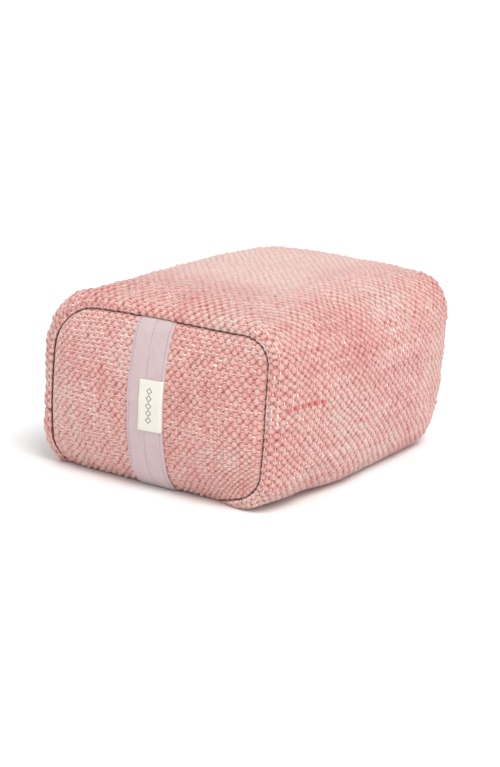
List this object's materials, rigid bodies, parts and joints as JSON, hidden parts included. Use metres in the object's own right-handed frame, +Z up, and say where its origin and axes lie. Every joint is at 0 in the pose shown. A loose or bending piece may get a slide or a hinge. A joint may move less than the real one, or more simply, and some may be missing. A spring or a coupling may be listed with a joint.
{
  "type": "soft yoga brick",
  "caption": "Rounded soft fabric brick with crowned ends, a sewn strap handle on one end, a zip along one side and a lined foam core.",
  "frame": {"origin": "centre of the brick's box, on the surface that it stands on", "axes": "+Z up; +Y along the length, away from the end with the handle; +X to the right of someone who faces that end"},
  "size_m": [0.1555, 0.233, 0.106],
  "materials": {
    "cover_cotton": "thick plain weave of rose cotton yarns crossed by a fine cream thread",
    "cover_thread": "dark rose sewing thread",
    "strap_twill": "fine lilac grey twill",
    "strap_thread": "mauve sewing thread",
    "label_cotton": "plain cream cotton tape",
    "label_thread": "cream sewing thread",
    "zip_tape": "rose herringbone polyester tape",
    "zip_coil": "dyed nylon monofilament",
    "zip_metal": "nickel plated zinc, lightly brushed",
    "calico": "unbleached calico",
    "wadding": "white polyester wadding",
    "foam": "open cell foam"
  },
  "bodies": {
    "cushion": {"wrap_panel": "cover_cotton", "front_end_panel": "cover_cotton", "rear_end_panel": "cover_cotton", "front_seam_thread": "cover_thread", "rear_seam_thread": "cover_thread", "strap_tab_top": "strap_twill", "strap_tab_bottom": "strap_twill", "zip_tape_upper": "zip_tape", "zip_tape_lower": "zip_tape", "zip_coil_upper": "zip_coil", "zip_coil_lower": "zip_coil", "zip_top_stop": "zip_metal", "zip_bottom_stop": "zip_metal", "zip_stitch_upper": "cover_thread", "zip_stitch_lower": "cover_thread", "liner_wrap": "calico", "liner_front": "calico", "liner_rear": "calico", "wadding_wrap": "wadding", "wadding_front": "wadding", "wadding_rear": "wadding", "foam_core": "foam"},
    "handle": {"handle_strap": "strap_twill", "strap_stitch_left": "strap_thread", "strap_stitch_middle": "strap_thread", "strap_stitch_right": "strap_thread", "label": "label_cotton", "label_stitch": "label_thread"},
    "slider": {"zip_slider": "zip_metal"},
    "pull_tab": {"zip_pull": "zip_metal"}
  },
  "joints": [
    {"name": "handle_lift", "type": "slide", "parent": "cushion", "child": "handle", "axis": [0, -1, 0], "range_m": [0, 0.012], "stiffness_N_per_m": 150},
    {"name": "zip_slide", "type": "slide", "parent": "cushion", "child": "slider", "axis": [0, -1, 0], "range_m": [0, 0.1338]},
    {"name": "pull_swing", "type": "hinge", "parent": "slider", "child": "pull_tab", "pos_m": [-0.07653, 0.06892, 0.03217], "axis": [0.0578, 0, -0.9983], "range_deg": [0, 175]}
  ]
}
